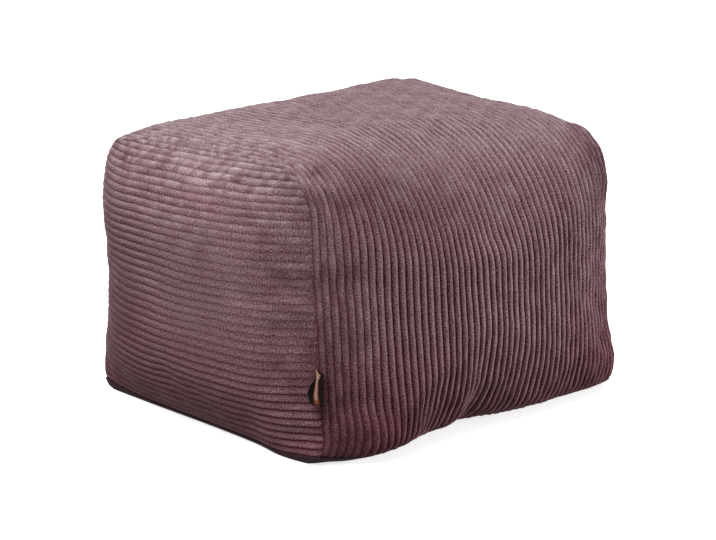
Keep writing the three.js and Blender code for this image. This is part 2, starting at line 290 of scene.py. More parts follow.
# Soft troughs and swellings: centre, reach each way and push
hollows = [
    ((-0.014, -0.2, 0), (0.013, 0.06, 0.048), (0, 0.009, 0)),
    ((-0.072, -0.2, 0.014), (0.042, 0.06, 0.034), (0, -0.006, 0)),
    ((0.058, -0.2, 0.03), (0.06, 0.06, 0.034), (0, 0.004, 0)),
    ((-0.225, 0.04, 0.15), (0.06, 0.06, 0.042), (0.003, 0, 0)),
    ((-0.11, 0.04, 0.25), (0.055, 0.09, 0.06), (0, 0, -0.004)),
    ((0.09, 0.07, 0.25), (0.07, 0.07, 0.06), (0, 0, -0.003)),
    # the rest are softer ones that the solids leave out
    ((-0.195, 0.15, 0.1), (0.06, 0.07, 0.065), (0.003, -0.0022, 0)),
    ((-0.185, 0.154, 0.217), (0.035, 0.035, 0.03), (0.0019, -0.0016, 0)),
    ((-0.01, 0.13, 0.256), (0.19, 0.06, 0.05), (0, 0, -0.0026)),
    ((0.17, -0.058, 0.253), (0.045, 0.045, 0.04), (0, 0, 0.0038)),
    ((-0.116, -0.185, 0.008), (0.036, 0.05, 0.026), (0, -0.013, 0)),
    ((-0.066, -0.19, 0.012), (0.03, 0.05, 0.034), (0, 0.007, 0)),
    ((0, -0.16, 0.006), (0.03, 0.05, 0.024), (0, 0.005, 0)),
    ((0.183, -0.152, 0.032), (0.05, 0.05, 0.022), (0.0035, -0.0028, 0)),
    ((0.056, -0.18, 0.008), (0.04, 0.05, 0.026), (0, -0.005, 0)),
    ((-0.192, -0.02, 0.005), (0.04, 0.09, 0.022), (0.003, 0, 0)),
    ((-0.142, -0.165, 0.005), (0.022, 0.045, 0.022), (0, -0.006, 0)),
    ((-0.21, 0.13, 0.19), (0.06, 0.06, 0.05), (-0.0016, 0.0012, 0)),
    ((-0.18, -0.106, 0.005), (0.045, 0.024, 0.022), (-0.004, 0, 0)),
    ((-0.186, -0.166, 0.004), (0.02, 0.02, 0.026), (0.0022, 0.0026, 0)),
    ((-0.158, -0.185, 0.152), (0.032, 0.05, 0.009), (0.0008, 0.0018, 0)),
    ((-0.148, -0.175, 0.216), (0.026, 0.05, 0.009), (0.0008, 0.0016, 0)),
]

# Steps with which slopes are measured: in s, t or v, and in metres up
probe = 0.001
probeUp = probe * 0.1


def mix(low, high, share):
    return low + (high - low) * share


def section(s):
    # size of the wrap panel's section at s, from -1 at the left seam to 1 at the right one
    swell = 1 - np.abs(s) ** form["frontPower"]
    middle = 1 - s * s
    halfDepth = form["halfDepth"] + form["frontSwell"] * swell
    height = form["height"] + form["topCrown"] * (1 - np.abs(s) ** form["topPower"])
    topRadius = mix(form["topRadius"], form["topRadiusInside"], middle)
    footRadius = mix(form["footRadius"], form["footRadiusInside"], middle)
    return halfDepth, height, topRadius, footRadius


def wrapForm(s, t):
    # t runs from 0 at the front of the floor over the top at 4 to 8, and back under the bag to 12
    s, t = np.broadcast_arrays(np.asarray(s, float), np.asarray(t, float))
    halfDepth, height, topRadius, footRadius = section(s)
    step = np.where(t <= 4, t, 8 - t)
    footTurn = np.clip(step, 0, 1) * math.pi / 2
    topTurn = (np.clip(step, 2, 3) - 2) * math.pi / 2
    places = [step < 1, step < 2, step < 3, step >= 3]
    depth = np.select(places, [
        halfDepth - footRadius * (1 - np.sin(footTurn)),
        halfDepth,
        halfDepth - topRadius * (1 - np.cos(topTurn)),
        (halfDepth - topRadius) * (4 - step),
    ])
    z = np.select(places, [
        footRadius * (1 - np.cos(footTurn)),
        mix(footRadius, height - topRadius, step - 1),
        height - topRadius * (1 - np.sin(topTurn)),
        height,
    ])
    under = t > 8
    y = np.where(t <= 4, -depth, depth)
    y = np.where(under, (halfDepth - footRadius) * (10 - t) / 2, y)
    z = np.where(under, 0, z)
    return np.stack([form["halfWidth"] * s, y, z], -1)


def sideHalfDepth(z):
    topStart = form["height"] - form["topRadius"]
    rise = np.clip(z - topStart, 0, form["topRadius"])
    drop = np.clip(form["footRadius"] - z, 0, form["footRadius"])
    atTop = np.sqrt(form["topRadius"] ** 2 - rise ** 2) - form["topRadius"]
    atFoot = np.sqrt(form["footRadius"] ** 2 - drop ** 2) - form["footRadius"]
    return form["halfDepth"] + atTop + atFoot


def sideForm(side, v, z):
    # v runs from -1 at the front seam to 1 at the back seam
    v, z = np.broadcast_arrays(np.asarray(v, float), np.asarray(z, float))
    up = np.clip(np.abs(2 * z / form["height"] - 1), 0, 1)
    swell = (1 - np.abs(v) ** form["sidePowerAcross"]) * (1 - up ** form["sidePowerUp"])
    x = form["halfWidth"] + form["sideSwell"] * swell
    return np.stack([side * x, v * sideHalfDepth(z), z], -1)


def settle(points):
    # the filling's set: corners moved, lean, waist and soft troughs
    x = points[..., 0] / (form["halfWidth"] + form["sideSwell"])
    y = points[..., 1] / (form["halfDepth"] + form["frontSwell"])
    z = 2 * points[..., 2] / form["height"] - 1
    settled = points.copy()
    for (i, j, k), move in cornerSet:
        share = (1 + i * x) * (1 + j * y) * (1 + k * z) / 8
        settled += share[..., None] * np.array(move)
    settled[..., 0] += form["leanX"] * z - form["waist"] * (1 - z * z) * x
    settled[..., 1] += form["leanY"] * z - form["waist"] * (1 - z * z) * y
    for centre, reach, push in hollows:
        away = (points - np.array(centre)) / np.array(reach)
        share = np.exp(-(away ** 2).sum(-1))
        settled += share[..., None] * np.array(push)
    return settled


def wrapSurface(s, t):
    return settle(wrapForm(s, t))


def facing(surface, a, b, stepA, stepB):
    across = surface(a + stepA, b) - surface(a - stepA, b)
    along = surface(a, b + stepB) - surface(a, b - stepB)
    normal = np.cross(across, along)
    return normal / np.linalg.norm(normal, axis=-1, keepdims=True)


def wrapOutward(s, t):
    inside = np.clip(s, -1 + 2 * probe, 1 - 2 * probe)
    normal = facing(wrapSurface, inside, np.clip(t, probe, 8 - probe), probe, probe)
    return np.where(np.asarray(t)[..., None] > 8, np.array([0, 0, -1.0]), normal)


def sideOutward(side, v, z):
    inside = np.clip(v, -1 + 2 * probe, 1 - 2 * probe)
    level = np.clip(z, 2 * probeUp, form["height"] - 2 * probeUp)
    surface = lambda a, b: settle(sideForm(side, a, b))
    return side * facing(surface, inside, level, probe, probeUp)


def rimHeight(fromCorner, fall):
    return mix(form["rimBetween"], form["rimAtCorner"], np.exp(-((fromCorner / fall) ** 2)))


def rimOnSide(v):
    return rimHeight(form["halfDepth"] * (1 - np.abs(v)), form["rimFallSide"])


def rimTurn(s, share=1):
    # share of the foot's quarter turn at which the base cloth ends, or is a given share of its height
    rim = rimHeight(form["halfWidth"] * (1 - np.abs(s)), form["rimFallFront"])
    return np.arccos(1 - share * rim / section(s)[3]) / (math.pi / 2)


corduroy = {
    "wrapRibs": 52, "sideRibs": 36,
    # how much closer together the side ribs lie just under the top seam, and how soon that ends
    "gathered": 0.2, "gatherPower": 4,
    # what the ribs of each side panel are numbered from, and what those of the wrap panel stay below
    "wrapNumbersTo": 90, "sideNumbers": {-1: 100, 1: 300},
    "height": 0.003, "lean": 1.15,
    "sideHeight": 0.001, "sideLean": 0.65,
    "roundness": 0.78,
    "crush": 0.16, "crushScale": {"perRib": 0.9, "wave": 0.022},
    "wander": 0.065, "wanderScale": {"perRib": 0.11, "wave": 0.09},
    "wrapSeed": 11, "sideSeed": 31,
    "steadyReach": 0.02,
    # wales are pressed flatter near the foot and the left seam, and low down and rubbed on the sides
    "atFoot": (0.6, 0.03), "atLeft": (0.6, 0.06),
    "sideFootShare": 0.6, "sideFootReach": (0.05, 0.17),
    "rubbedShare": 0.3,
    "endRound": 0.0042, "noseBlunt": 0.03,
    "seamSink": 0.0022, "seamReach": 0.0045, "sinkUnder": 0.4,
    "measured": {"across": 801, "along": 601},
}

# How the bag is meshed: lines over each rib, rows along it with closer ones at its ends, rows below the rim
# as shares of its height, rows under the bag, and the share of the wales' height that is raised
fineGrid = {
    "lines": (0, 0.055, 0.16, 0.32, 0.5, 0.68, 0.84, 0.945),
    "sideLines": (0, 0.04, 0.1, 0.19, 0.32, 0.5, 0.7, 0.87),
    "rowStep": 0.0074, "sideStep": 0.0056,
    "endRows": (0, 0.0007, 0.0017, 0.0031, 0.0052, 0.0085),
    "footRows": (0, 0.5), "underRows": 6,
    "relief": 1,
}

# The same for a plain bag without wales
plainLines = {"lines": (0,), "sideLines": (0,), "rowStep": 0.012, "sideStep": 0.012, "endRows": (0, 0.006)}
blankGrid = {**fineGrid, **plainLines, "relief": 0}


def ribPlaces(ribs):
    # place s of each rib coordinate, so that ribs are evenly spaced on the cloth half way up the front
    s = np.linspace(-1, 1, corduroy["measured"]["across"])
    line = wrapForm(s, 1.5)
    steps = np.hypot(np.diff(line[:, 0]), np.diff(line[:, 1]))
    length = np.concatenate([[0], np.cumsum(steps)])
    return np.interp(np.asarray(ribs) * length[-1] / corduroy["wrapRibs"], length, s)


waves = {"count": 9, "slowest": 0.6, "fastest": 1.5}


def evenNoise(points, seed):
    # smooth value from about -1 to 1 at each point, made of a few crossed waves
    draw = np.random.default_rng(seed)
    total = np.zeros(points.shape[:-1])
    for _ in range(waves["count"]):
        direction = draw.normal(size=points.shape[-1])
        direction *= draw.uniform(waves["slowest"], waves["fastest"]) / np.linalg.norm(direction)
        total += np.sin(2 * math.pi * (points @ direction) + draw.uniform(0, 2 * math.pi))
    return total / math.sqrt(waves["count"])


def clothNoise(rib, along, scale, seed):
    return evenNoise(np.stack([rib * scale["perRib"], along / scale["wave"]], -1), seed)


def ribRelief(rib, along, seed, lean):
    # height of the pile: rounded wales, brushed a little to one side, with narrow valleys
    wandering = clothNoise(rib, along, corduroy["wanderScale"], seed) * corduroy["wander"]
    profile = np.sin(math.pi * (rib % 1) ** lean) ** corduroy["roundness"]
    crush = 1 + corduroy["crush"] * clothNoise(rib, along, corduroy["crushScale"], seed + 1)
    return profile * crush, wandering


# A rubbed patch of the side panels, where the wales lie flat: how it fades out at the back, foot and top
rubbed = {"back": (-0.1, 0.05), "foot": (0.05, 0.1), "top": (0.205, 0.245)}


def fade(value, start, stop):
    share = np.clip((value - start) / (stop - start), 0, 1)
    return share * share * (3 - 2 * share)


def rubbedAt(y, z):
    return (1 - fade(y, *rubbed["back"])) * fade(z, *rubbed["foot"]) * (1 - fade(z, *rubbed["top"]))


def endShare(distance, rib):
    # a wale ends in a round nose: its flanks stop short of its crest
    short = np.clip(1 - np.maximum(distance, 0) / corduroy["endRound"], 0, 1)
    width = 1 - (2 * (rib % 1) - 1) ** 2
    return np.sqrt(np.clip(1 - short ** 2 / (width + corduroy["noseBlunt"]), 0, 1))


def seamDip(distance):
    return -corduroy["seamSink"] * np.exp(-((distance / corduroy["seamReach"]) ** 2))


def endsToMiddle(length, step, ends):
    # distances along a rib, close together at both ends
    near = np.array(ends)
    middle = np.linspace(near[-1], length - near[-1], max(2, round((length - 2 * near[-1]) / step) + 1))
    return np.concatenate([near[:-1], middle, length - near[:-1][::-1]]) / length


def wrapTable(ribs, grid):
    # cloth coordinates of the wrap panel: for each rib line, places t from rim to rim and under the bag
    s = ribPlaces(ribs)
    rim = rimTurn(s)[:, None]
    t = rim + (8 - 2 * rim) * np.linspace(0, 1, corduroy["measured"]["along"])[None, :]
    line = wrapForm(s[:, None], t)
    steps = np.linalg.norm(np.diff(line, axis=1), axis=-1)
    length = np.concatenate([np.zeros((len(s), 1)), np.cumsum(steps, 1)], 1)
    whole = length[:, -1:]
    wanted = whole * endsToMiddle(np.median(whole), grid["rowStep"], grid["endRows"])[None, :]
    places = np.stack([np.interp(wanted[i], length[i], t[i]) for i in range(len(s))])
    foot = rim * np.array(grid["footRows"])[None, :]
    under = np.broadcast_to(np.linspace(8, 12, grid["underRows"] + 1)[1:], (len(s), grid["underRows"]))
    t = np.concatenate([foot, places, 8 - foot[:, ::-1], under], 1)
    # the rows below the rim have no wales, which a distance of -1 says
    plain = ((0, 0), (foot.shape[1], foot.shape[1] + under.shape[1]))
    fromRim = np.pad(np.minimum(wanted, whole - wanted), plain, constant_values=-1)
    along = np.pad(wanted - whole / 2, plain)
    return np.broadcast_to(s[:, None], t.shape), t, along, fromRim


def placeLattice(builder, table, cloth):
    # a bmesh grid whose points are moved to a table of places, with the cloth's own coordinates as its UVs
    columns, rows = table.shape[0] - 1, table.shape[1] - 1
    made = bmesh.ops.create_grid(builder, x_segments=columns, y_segments=rows, size=0.5)["verts"]
    lattice = {}
    spots = {}
    for vert in made:
        i = round((vert.co.x + 0.5) * columns)
        j = round((vert.co.y + 0.5) * rows)
        vert.co = table[i, j]
        lattice[i, j] = vert
        spots[vert] = cloth[i, j]
    layers = builder.loops.layers.uv
    for face in {face for vert in made for face in vert.link_faces}:
        for loop in face.loops:
            for pair, layer in enumerate(layers.values()):
                loop[layer].uv = spots[loop.vert][2 * pair:2 * pair + 2]
    return lattice


def chainEdges(builder, verts):
    return [builder.edges.get(pair) or builder.edges.new(pair) for pair in zip(verts, verts[1:])]


def ribLines(ribs, lines):
    places = (np.arange(ribs)[:, None] + np.array(lines)[None, :]).ravel()
    return np.append(places, ribs)


def pressedNear(distance, share, reach):
    # the share of the wales' height that is left near an edge
    return mix(share, 1, np.clip(distance / reach, 0, 1))


def wrapPlaces(grid):
    # places and cloth coordinates of the wrap panel, a tube over the top and back under the bag
    lines = ribLines(corduroy["wrapRibs"], grid["lines"])
    s, t, along, fromRim = wrapTable(lines, grid)
    rib = np.broadcast_to(lines[:, None], t.shape)
    pile, wandering = ribRelief(rib, along, corduroy["wrapSeed"], corduroy["lean"])
    fromSeam = form["halfWidth"] * (1 - np.abs(s))
    fromLeft = form["halfWidth"] * (1 + s)
    sway = wandering * np.clip(fromSeam / corduroy["steadyReach"], 0, 1)
    moved = ribPlaces(np.clip(rib + sway, 0, corduroy["wrapRibs"]))
    pressed = pressedNear(fromRim, *corduroy["atFoot"]) * pressedNear(fromLeft, *corduroy["atLeft"])
    pile = corduroy["height"] * pile * pressed * endShare(fromRim, rib)
    dip = seamDip(fromSeam) * np.where(fromRim < 0, corduroy["sinkUnder"], 1)
    lift = grid["relief"] * (pile + dip)
    places = wrapSurface(moved, t) + wrapOutward(moved, t) * lift[..., None]
    places[:, -1] = places[:, 0]
    cloth = np.stack([rib, along, np.maximum(fromRim, 0), fromSeam], -1)
    return places, cloth, t[0]


def sidePlaces(side, grid):
    # places and cloth coordinates of one side panel, whose ribs run from seam to seam
    lines = ribLines(corduroy["sideRibs"], grid["sideLines"])
    v = endsToMiddle(2 * form["halfDepth"], grid["sideStep"], grid["endRows"]) * 2 - 1
    rim = rimOnSide(v)[:, None]
    rib = np.broadcast_to(lines[None, :], (len(v), len(lines)))
    across = np.broadcast_to(v[:, None], rib.shape)
    along = across * form["halfDepth"]
    pitch = (form["height"] - rim) / corduroy["sideRibs"]
    pile, wandering = ribRelief(rib, along, corduroy["sideSeed"] + side, corduroy["sideLean"])
    down = 1 - rib / corduroy["sideRibs"]
    down = down - corduroy["gathered"] * down * (1 - down) ** corduroy["gatherPower"]
    level = mix(form["height"], rim, down)
    fromSeam = sideHalfDepth(level) * (1 - np.abs(across))
    sway = wandering * np.clip(fromSeam / corduroy["steadyReach"], 0, 1)
    sway = sway * np.clip(rib, 0, 1) * np.clip(corduroy["sideRibs"] - rib, 0, 1)
    level = level + sway * pitch
    near = np.minimum(fromSeam, form["height"] - level)
    pressed = mix(corduroy["sideFootShare"], 1, fade(level, *corduroy["sideFootReach"]))
    pressed = pressed * mix(1, corduroy["rubbedShare"], rubbedAt(along, level))
    pile = corduroy["sideHeight"] * pile * pressed * endShare(fromSeam, rib)
    lift = grid["relief"] * (pile + seamDip(near))
    places = settle(sideForm(side, across, level)) + sideOutward(side, across, level) * lift[..., None]
    cloth = np.stack([rib + corduroy["sideNumbers"][side], along, fromSeam, near], -1)
    low = rim * np.array(grid["footRows"])[None, :]
    foot = settle(sideForm(side, v[:, None], low))
    plain = np.zeros((*low.shape, 4))
    plain[..., 1] = along[:, :1]
    return np.concatenate([foot, places], 1), np.concatenate([plain, cloth], 1)


def newBuilder(*layers):
    builder = bmesh.new()
    for layer in layers:
        builder.loops.layers.uv.new(layer)
    return builder


def weld(builder, distance):
    # points that coincide become one, and faces are turned outward
    bmesh.ops.remove_doubles(builder, verts=builder.verts, dist=distance)
    bmesh.ops.recalc_face_normals(builder, faces=builder.faces)


def closedBag(name, grid, drift=None):
    # the whole bag as one closed cushion: the wrap panel, and a side panel sewn into each end of it
    builder = newBuilder("cloth", "edges")
    settled = lambda places: centring + places + (0 if drift is None else drift(places))
    places, cloth, turns = wrapPlaces(grid)
    wrap = placeLattice(builder, settled(places), cloth)
    lastColumn, lastRow = places.shape[0] - 1, places.shape[1] - 1
    # rows of the tube at the side panel's corners, from the front foot over the top to the back foot
    stops = [0] + [int(np.argmin(np.abs(turns - turn))) for turn in (3, 5, 8)] + [lastRow]
    for side, column in ((-1, 0), (1, lastColumn)):
        places, cloth = sidePlaces(side, grid)
        cap = placeLattice(builder, settled(places), cloth)
        acrossCap, upCap = range(places.shape[0]), range(places.shape[1])
        panelEdges = [
            [cap[0, j] for j in upCap],
            [cap[i, upCap[-1]] for i in acrossCap],
            [cap[acrossCap[-1], j] for j in reversed(upCap)],
            [cap[i, 0] for i in reversed(acrossCap)],
        ]
        for start, stop, panelEdge in zip(stops, stops[1:], panelEdges):
            tubeEdge = [wrap[column, j] for j in range(start, stop + 1)]
            edges = chainEdges(builder, tubeEdge) + chainEdges(builder, panelEdge)
            bmesh.ops.bridge_loops(builder, edges=edges)
    weld(builder, 1e-6)
    return meshFrom(builder, name)


def linkPiece(name, mesh, replaced):
    mesh.shade_smooth()
    piece = addObject(name, mesh)
    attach(piece, "root")
    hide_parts(replaced)
    return piece


def thicken(piece, thickness):
    wall = piece.modifiers.new("thickness", "SOLIDIFY")
    wall.thickness = thickness
    wall.offset = 0


filling = {
    "voxel": 0.008, "startInside": 0.0035,
    "floorHold": {"full": 0.005, "fade": 0.02},
    "seamHold": 0.75, "seamReach": 0.01, "leastHold": 0.02,
    "frames": 20,
    "cloth": {
        "quality": 6, "mass": 0.4,
        "tension_stiffness": 18, "compression_stiffness": 18,
        "shear_stiffness": 8, "bending_stiffness": 1.5,
        "shrink_min": -0.015,
        "use_pressure": True, "uniform_pressure_force": 4,
    },
    "broadRounds": 60, "broadKept": 0.12,
    "mostMove": 0.0032,
    "neighbours": 9, "spread": 0.0085,
}


def pointArray(mesh, kind="co"):
    values = np.empty(len(mesh.vertices) * 3)
    mesh.vertices.foreach_get(kind, values)
    return values.reshape(-1, 3)


def pointTree(points):
    tree = kdtree.KDTree(len(points))
    for index, place in enumerate(points):
        tree.insert(place, index)
    tree.balance()
    return tree


def evaluatedMesh(piece):
    return bpy.data.meshes.new_from_object(piece.evaluated_get(bpy.context.evaluated_depsgraph_get()))


def removePiece(piece):
    mesh = piece.data
    bpy.data.objects.remove(piece)
    bpy.data.meshes.remove(mesh)


def seamDistance(points):
    # how far each point is from the nearest of the two seams
    t = np.linspace(0, 12, 361)
    seams = [wrapSurface(np.full(t.shape, side), t) + centring for side in (-1.0, 1.0)]
    tree = pointTree(np.concatenate(seams))
    return np.array([tree.find(place)[2] for place in points])


def smoothedOver(mesh, values, rounds):
    # each point's value becomes the mean of its own and its neighbours', again and again
    edges = np.empty(len(mesh.edges) * 2, int)
    mesh.edges.foreach_get("vertices", edges)
    first, second = edges.reshape(-1, 2).T
    count = 1 + np.bincount(first, minlength=len(values)) + np.bincount(second, minlength=len(values))
    for _ in range(rounds):
        total = values.copy()
        np.add.at(total, first, values[second])
        np.add.at(total, second, values[first])
        values = total / count[:, None]
    return values


def makeEvenBag():
    # a plain bag without wales, in small even faces
    blank = addObject("blankBag", closedBag("blankBag", blankGrid))
    remesh = blank.modifiers.new("evenMesh", "REMESH")
    remesh.mode = "VOXEL"
    remesh.voxel_size = filling["voxel"]
    even = addObject("evenBag", evaluatedMesh(blank))
    removePiece(blank)
    return even


def blownUp(even, hold):
    # where the points of a bag of cloth go under pressure
    held = even.vertex_groups.new(name="held")
    for index, weight in enumerate(hold):
        if weight > filling["leastHold"]:
            held.add([index], float(weight), "REPLACE")
    cloth = even.modifiers.new("cloth", "CLOTH")
    for name, value in filling["cloth"].items():
        setattr(cloth.settings, name, value)
    cloth.settings.vertex_group_mass = held.name
    cloth.settings.effector_weights.gravity = 0
    cloth.collision_settings.use_collision = False
    cloth.point_cache.frame_start = 1
    cloth.point_cache.frame_end = filling["frames"]
    for step in range(1, filling["frames"] + 1):
        scene.frame_set(step)
    blown = pointArray(evaluatedMesh(even))
    scene.frame_set(1)
    return blown


def driftOver(start, moved):
    # the movement of any place, which is a mean of those of the nearest points
    tree = pointTree(start)

    def drift(places):
        flat = places.reshape(-1, 3) + centring
        result = np.empty(flat.shape)
        for row, place in enumerate(flat):
            near = tree.find_n(place, filling["neighbours"])
            away = np.array([found[2] for found in near])
            weights = np.exp(-((away / filling["spread"]) ** 2)) + 1e-9
            result[row] = weights @ moved[[found[1] for found in near]] / weights.sum()
        return result.reshape(places.shape)

    return drift


def filledDrift():
    # a plain bag of cloth, held at its seams and floor, is blown up, and the fine one moves as it does
    even = makeEvenBag()
    start = pointArray(even.data)
    aboveFloor = start[:, 2] - centring[2]
    floorHold = filling["floorHold"]
    onFloor = np.clip(1 - (aboveFloor - floorHold["full"]) / floorHold["fade"], 0, 1)
    atSeam = np.exp(-((seamDistance(start) / filling["seamReach"]) ** 2))
    hold = np.maximum(onFloor, filling["seamHold"] * atSeam)
    begun = start - pointArray(even.data, "normal") * (filling["startInside"] * (1 - hold))[:, None]
    even.data.vertices.foreach_set("co", begun.ravel())
    moved = blownUp(even, hold) - start
    broad = smoothedOver(even.data, moved, filling["broadRounds"])
    moved = moved - (1 - filling["broadKept"]) * broad
    size = np.linalg.norm(moved, axis=1, keepdims=True)
    moved = moved * np.minimum(1, filling["mostMove"] / np.maximum(size, 1e-9))
    moved[:, 2] *= 1 - onFloor
    removePiece(even)
    print("filling moves the cloth by up to", round(1000 * np.linalg.norm(moved, axis=1).max(), 1), "mm")
    return driftOver(start, moved)


drift = filledDrift()
bagMesh = closedBag("corduroyBag", fineGrid, drift)
bag = linkPiece("corduroyBag", bagMesh, "corduroy_bag")
print("bag is sewn:", len(bagMesh.polygons), "faces")

# Base cloth under the bag, turned up round its foot

baseCloth = {
    "cut": (0.372, 0.316), "thickness": 0.0012,
    "columns": 60, "rows": 48,
    "upturn": (0, 0.25, 0.5, 0.75, 1),
    "ripple": 0.1, "rippleWaves": 9.0, "rippleEnds": 6, "rippleSeed": 5,
    "outAtFloor": 0.002, "outAtRim": 0.0009, "riseReach": 0.004,
    "bunch": 0.0005, "bunchWave": 0.02, "bunchSeed": 7,
    "cornerIn": 0.45, "cornerX": (0.155, 0.18), "cornerY": (0.13, 0.155),
}


def baseStrips():
    # places before they settle: front upturn, floor and back upturn in one, then each side's upturn
    s = np.linspace(-1, 1, baseCloth["columns"] + 1)[:, None]
    v = np.linspace(-1, 1, baseCloth["rows"] + 1)
    rising = np.array(baseCloth["upturn"])[None, :]
    ripple = evenNoise(s * np.array([baseCloth["rippleWaves"]]), baseCloth["rippleSeed"])[:, None]
    up = rising * (1 + baseCloth["ripple"] * ripple * (1 - np.abs(s) ** baseCloth["rippleEnds"]))
    front = wrapForm(s, rimTurn(s, up[:, ::-1]))
    floor = wrapForm(s, 10 - 2 * v[None, 1:-1])
    back = wrapForm(s, 8 - rimTurn(s, up))
    sides = [sideForm(side, v[:, None], rimOnSide(v)[:, None] * rising) for side in (-1, 1)]
    return [np.concatenate([front, floor, back], 1), *sides]


def makeBaseCloth():
    builder = newBuilder("cloth")
    for strip in baseStrips():
        placeLattice(builder, settle(strip) + centring, strip[..., :2])
    weld(builder, 1e-5)
    lowest = min(builder.faces, key=lambda face: face.calc_center_median().length)
    if lowest.normal.z > 0:
        bmesh.ops.reverse_faces(builder, faces=builder.faces)
    builder.normal_update()
    for vert in builder.verts:
        rise = min(1, max(0, (vert.co.z - centring[2]) / baseCloth["riseReach"]))
        noise = evenNoise(np.array(vert.co) / baseCloth["bunchWave"], baseCloth["bunchSeed"])
        atCorner = fade(abs(vert.co.x), *baseCloth["cornerX"]) * fade(abs(vert.co.y), *baseCloth["cornerY"])
        out = mix(baseCloth["outAtFloor"], baseCloth["outAtRim"], rise)
        out = out * (1 - baseCloth["cornerIn"] * atCorner) + baseCloth["bunch"] * rise * noise
        vert.co += vert.normal * out
    return meshFrom(builder, "baseCloth")


base = linkPiece("baseCloth", makeBaseCloth(), "base_cloth")
thicken(base, baseCloth["thickness"])
print("base cloth is sewn on")

# Seam tab: a short folded tape, sewn into the near front seam

seamTab = {
    "cut": (0.036, 0.034), "thickness": 0.0007,
    "across": 28, "up": 18,
    "reach": 0.015, "inSeam": 0.002,
    "lift": 0.0022, "sink": 0.0065,
    "outward": (-0.68, -0.73, 0), "aslant": (0.73, -0.68, 0),
    "foldPower": 3.2, "leafPower": 4, "leafTaper": 1.35, "leafLeast": 0.35,
    "bowShare": 0.9,
    # at each height: bow of the left leaf and of the right one, set of the fold and its half width
    "heights": (0, 0.27, 0.54, 0.68, 0.84, 1),
    "bowLeft": (-0.006, -0.0075, -0.0055, -0.0015, 0.001, 0.001),
    "bowRight": (0.001, 0.002, 0.003, 0.0032, 0.003, 0.0004),
    "foldSet": (-0.0018, -0.0023, -0.0011, -0.0005, 0.001, -0.0008),
    "halfFold": (0.004, 0.0034, 0.002, 0.0017, 0.004, 0.0006),
}


def tabOffsets(a, h):
    # how far each point of the tape is out of the seam, as a share of its reach, and how far to the right
    keys = ("bowLeft", "bowRight", "foldSet", "halfFold")
    bowLeft, bowRight, foldSet, halfFold = (np.interp(h, seamTab["heights"], seamTab[key]) for key in keys)
    out = 1 - np.abs(a) ** seamTab["foldPower"]
    opened = 1 - (1 - np.abs(a)) ** seamTab["leafPower"]
    tapered = np.clip(seamTab["leafTaper"] - np.abs(a), seamTab["leafLeast"], 1)
    aside = np.sign(a) * halfFold * opened * tapered
    bow = np.where(a < 0, bowLeft, bowRight)
    return out, aside + bow * np.sin(math.pi * np.clip(out, 0, 1)) * seamTab["bowShare"] + foldSet * out


def nearSeam(z):
    # the near front seam at each height
    straight = form["height"] - form["topRadius"] - form["footRadius"]
    t = 1 + (z - form["footRadius"]) / straight
    return wrapSurface(np.full(z.shape, -1.0), t) + centring


def makeSeamTab():
    builder = newBuilder("cloth")
    low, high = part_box("seam_tab")
    a = np.linspace(-1, 1, seamTab["across"] + 1)[:, None]
    h = np.linspace(0, 1, seamTab["up"] + 1)[None, :]
    z = mix(low.z, high.z, h)
    out, aside = tabOffsets(a, h)
    outward, aslant = np.array(seamTab["outward"]), np.array(seamTab["aslant"])
    root = np.repeat(nearSeam(z), len(a), 0)
    root[..., 2] = z + (1 - h) * seamTab["lift"] - (1 - out) * h ** 2 * seamTab["sink"]
    root = root - outward * seamTab["inSeam"]
    reach = seamTab["reach"] + seamTab["inSeam"]
    places = root + out[..., None] * outward * reach + aside[..., None] * aslant
    cloth = np.stack(np.broadcast_arrays((a + 1) / 2, h), -1)
    placeLattice(builder, places, cloth)
    bmesh.ops.recalc_face_normals(builder, faces=builder.faces)
    return meshFrom(builder, "seamTab")


tab = linkPiece("seamTab", makeSeamTab(), "seam_tab")
thicken(tab, seamTab["thickness"])
print("seam tab is folded and sewn in")

# Finishes

fibreScales = (0.75, 1.6)
fibreStrength = 3.4


def makeFibreGroup():
    # fine fibres that every cloth here has: takes a place in millimetres, gives a shade and a height
    group = bpy.data.node_groups.new("fibreGrain", "ShaderNodeTree")
    sockets = [("Place", "INPUT", "Vector"), ("Contrast", "INPUT", "Float")]
    sockets += [("Shade", "OUTPUT", "Float"), ("Height", "OUTPUT", "Float")]
    for name, way, kind in sockets:
        group.interface.new_socket(name, in_out=way, socket_type="NodeSocket" + kind)
    given = group.nodes.new("NodeGroupInput").outputs
    coarse, fine = (noiseAt(given["Place"], scale, 1, 0.6) for scale in fibreScales)
    height = coarse * 0.5 + fine * 0.5
    result = group.nodes.new("NodeGroupOutput").inputs
    feed(result["Shade"], 1 + (height - 0.5) * fibreStrength * Number(given["Contrast"]))
    feed(result["Height"], height)
    return group


fibreGrain = makeFibreGroup()


def fibres(placeMm, contrast):
    feeds = {"Place": placeMm, "Contrast": contrast}
    made = addNode(placeMm.id_data, "Group", feeds, node_tree=fibreGrain).outputs
    return Number(made["Shade"]), Number(made["Height"])


# Soft regions of the pile: where each starts and stops in height, x or y, or from the nearest seam
region = {
    "rim": (0.005, 0.055), "foot": (0.01, 0.15),
    "low": (0.03, 0.13), "top": (0.228, 0.262),
    "highWrap": {"rise": (0.165, 0.21), "fall": (0.254, 0.268)},
    "seamLine": (0, 0.0026),
    "handledSeam": (0.015, 0.085), "handledX": (-0.1, 0),
    "crown": (0.2, 0.24),
    "brushedAndSheen": (0.14, 0.265), "sheenOnTop": (0.22, 0.264),
    "upperFlankLit": (0.165, 0.235), "upperFlankLitY": (-0.02, 0.05),
    "turned": (0.13, 0.19), "turnedY": (-0.11, -0.05),
    "shadedSeam": (0.03, 0.12),
    "puckered": (0.19, 0.235), "puckeredSeam": (0.012, 0.042),
}


